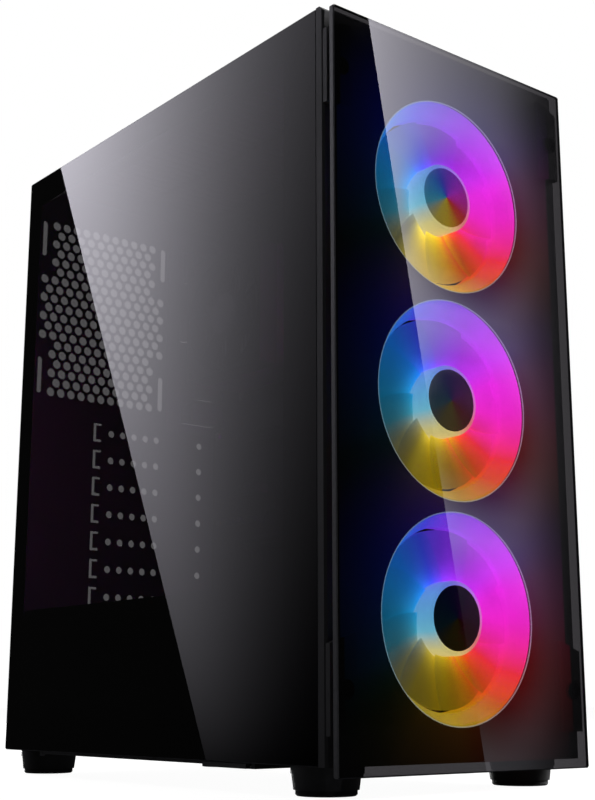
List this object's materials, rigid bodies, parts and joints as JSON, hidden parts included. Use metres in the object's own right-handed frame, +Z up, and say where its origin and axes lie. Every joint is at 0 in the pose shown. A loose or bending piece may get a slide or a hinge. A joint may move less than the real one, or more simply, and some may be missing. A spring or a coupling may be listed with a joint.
{
  "type": "desktop computer tower",
  "caption": "Black desktop computer tower with a tinted glass side, a glass front plate and lit front fans behind it.",
  "frame": {"origin": "floor level, under the middle of the whole tower", "axes": "+Z up, the glass front faces -Y, the glass side faces -X"},
  "size_m": [0.188, 0.358, 0.4266],
  "materials": {
    "black_steel": "satin black powder coat",
    "black_plastic": "fine textured black",
    "black_gloss": "smooth black",
    "tinted_glass": "dark tinted tempered glass",
    "light_diffuser": "milky diffuser, lit",
    "frosted_rotor": "frosted clear plastic",
    "copper_coil": "wound copper",
    "zinc_steel": "zinc plated",
    "black_screws": "black knurled",
    "rubber_pad": "matt rubber",
    "circuit_board": "black solder mask",
    "bare_aluminium": "bare cast and extruded",
    "brass_post": "turned brass",
    "memory_shield": "dark anodised",
    "jack_plastic": "black"
  },
  "bodies": {
    "chassis": {"audio_jacks": "jack_plastic", "base_plate": "black_steel", "board_heatsinks": "bare_aluminium", "board_standoffs": "brass_post", "board_tray": "black_steel", "chassis_screws": "zinc_steel", "cpu_fan_frame": "black_plastic", "cpu_heatsink": "bare_aluminium", "drive_cage": "black_steel", "expansion_slots": "black_plastic", "fan_frame_bottom": "black_plastic", "fan_frame_middle": "black_plastic", "fan_frame_top": "black_plastic", "fan_light_ring_bottom": "light_diffuser", "fan_light_ring_middle": "light_diffuser", "fan_light_ring_top": "light_diffuser", "fan_motors": "copper_coil", "fan_screws": "zinc_steel", "feet": "black_plastic", "filter_runners": "black_plastic", "foot_pads": "rubber_pad", "front_bezel": "black_plastic", "front_frame": "black_steel", "hard_drive": "bare_aluminium", "io_board": "circuit_board", "io_housing": "black_plastic", "io_shield": "zinc_steel", "memory_modules": "memory_shield", "memory_slots": "black_plastic", "motherboard": "circuit_board", "power_sockets": "black_plastic", "psu_case": "black_steel", "psu_circuit": "circuit_board", "psu_fan_guard": "zinc_steel", "psu_inlet": "black_plastic", "psu_shroud": "black_steel", "rear_panel": "black_steel", "rear_ports": "zinc_steel", "side_frame": "black_steel", "slot_covers": "black_steel", "switch_bezel": "black_plastic", "top_panel": "black_steel", "usb_ports": "zinc_steel"},
    "front_fan_bottom": {"fan_rotor_bottom": "frosted_rotor"},
    "front_fan_middle": {"fan_rotor_middle": "frosted_rotor"},
    "front_fan_top": {"fan_rotor_top": "frosted_rotor"},
    "cpu_fan": {"cpu_fan_rotor": "black_gloss"},
    "psu_fan": {"psu_fan_rotor": "black_gloss"},
    "rocker": {"psu_switch": "black_gloss"},
    "power_key": {"power_button": "black_gloss"},
    "reset_key": {"reset_button": "black_gloss"},
    "left_side_panel": {"left_glass": "tinted_glass", "left_panel_frame": "black_steel", "left_thumbscrews": "black_screws"},
    "right_side_panel": {"right_panel": "black_steel", "right_thumbscrews": "black_screws"},
    "front_panel": {"front_glass": "tinted_glass", "front_glass_studs": "zinc_steel"},
    "roof_filter": {"top_filter": "black_plastic"},
    "floor_filter": {"bottom_filter": "black_plastic"}
  },
  "joints": [
    {"name": "front_fan_bottom_spin", "type": "hinge", "parent": "chassis", "child": "front_fan_bottom", "pos_m": [0, -0.1555, 0.091], "axis": [0, 1, 0], "continuous": true},
    {"name": "front_fan_middle_spin", "type": "hinge", "parent": "chassis", "child": "front_fan_middle", "pos_m": [0, -0.1555, 0.2125], "axis": [0, 1, 0], "continuous": true},
    {"name": "front_fan_top_spin", "type": "hinge", "parent": "chassis", "child": "front_fan_top", "pos_m": [0, -0.1555, 0.334], "axis": [0, 1, 0], "continuous": true},
    {"name": "cpu_fan_spin", "type": "hinge", "parent": "chassis", "child": "cpu_fan", "pos_m": [0.0225, 0.072, 0.322], "axis": [1, 0, 0], "continuous": true},
    {"name": "psu_fan_spin", "type": "hinge", "parent": "chassis", "child": "psu_fan", "pos_m": [0, 0.1, 0.032], "axis": [0, 0, 1], "continuous": true},
    {"name": "psu_rocker_tip", "type": "hinge", "parent": "chassis", "child": "rocker", "pos_m": [0, 0.167, 0.043], "axis": [0, 0, -1], "range_deg": [0, 16]},
    {"name": "power_button_press", "type": "slide", "parent": "chassis", "child": "power_key", "axis": [0, 0, -1], "range_m": [0, 0.0015], "stiffness_N_per_m": 500, "springref_m": -0.001},
    {"name": "reset_button_press", "type": "slide", "parent": "chassis", "child": "reset_key", "axis": [0, 0, -1], "range_m": [0, 0.0015], "stiffness_N_per_m": 500, "springref_m": -0.001},
    {"name": "left_panel_off", "type": "slide", "parent": "chassis", "child": "left_side_panel", "axis": [0, 1, 0], "range_m": [0, 0.345]},
    {"name": "right_panel_off", "type": "slide", "parent": "chassis", "child": "right_side_panel", "axis": [0, 1, 0], "range_m": [0, 0.345]},
    {"name": "front_panel_off", "type": "slide", "parent": "chassis", "child": "front_panel", "axis": [0, -1, 0], "range_m": [0, 0.03]},
    {"name": "roof_filter_off", "type": "slide", "parent": "chassis", "child": "roof_filter", "axis": [0, 0, 1], "range_m": [0, 0.03]},
    {"name": "floor_filter_out", "type": "slide", "parent": "chassis", "child": "floor_filter", "axis": [-1, 0, 0], "range_m": [0, 0.165]}
  ]
}
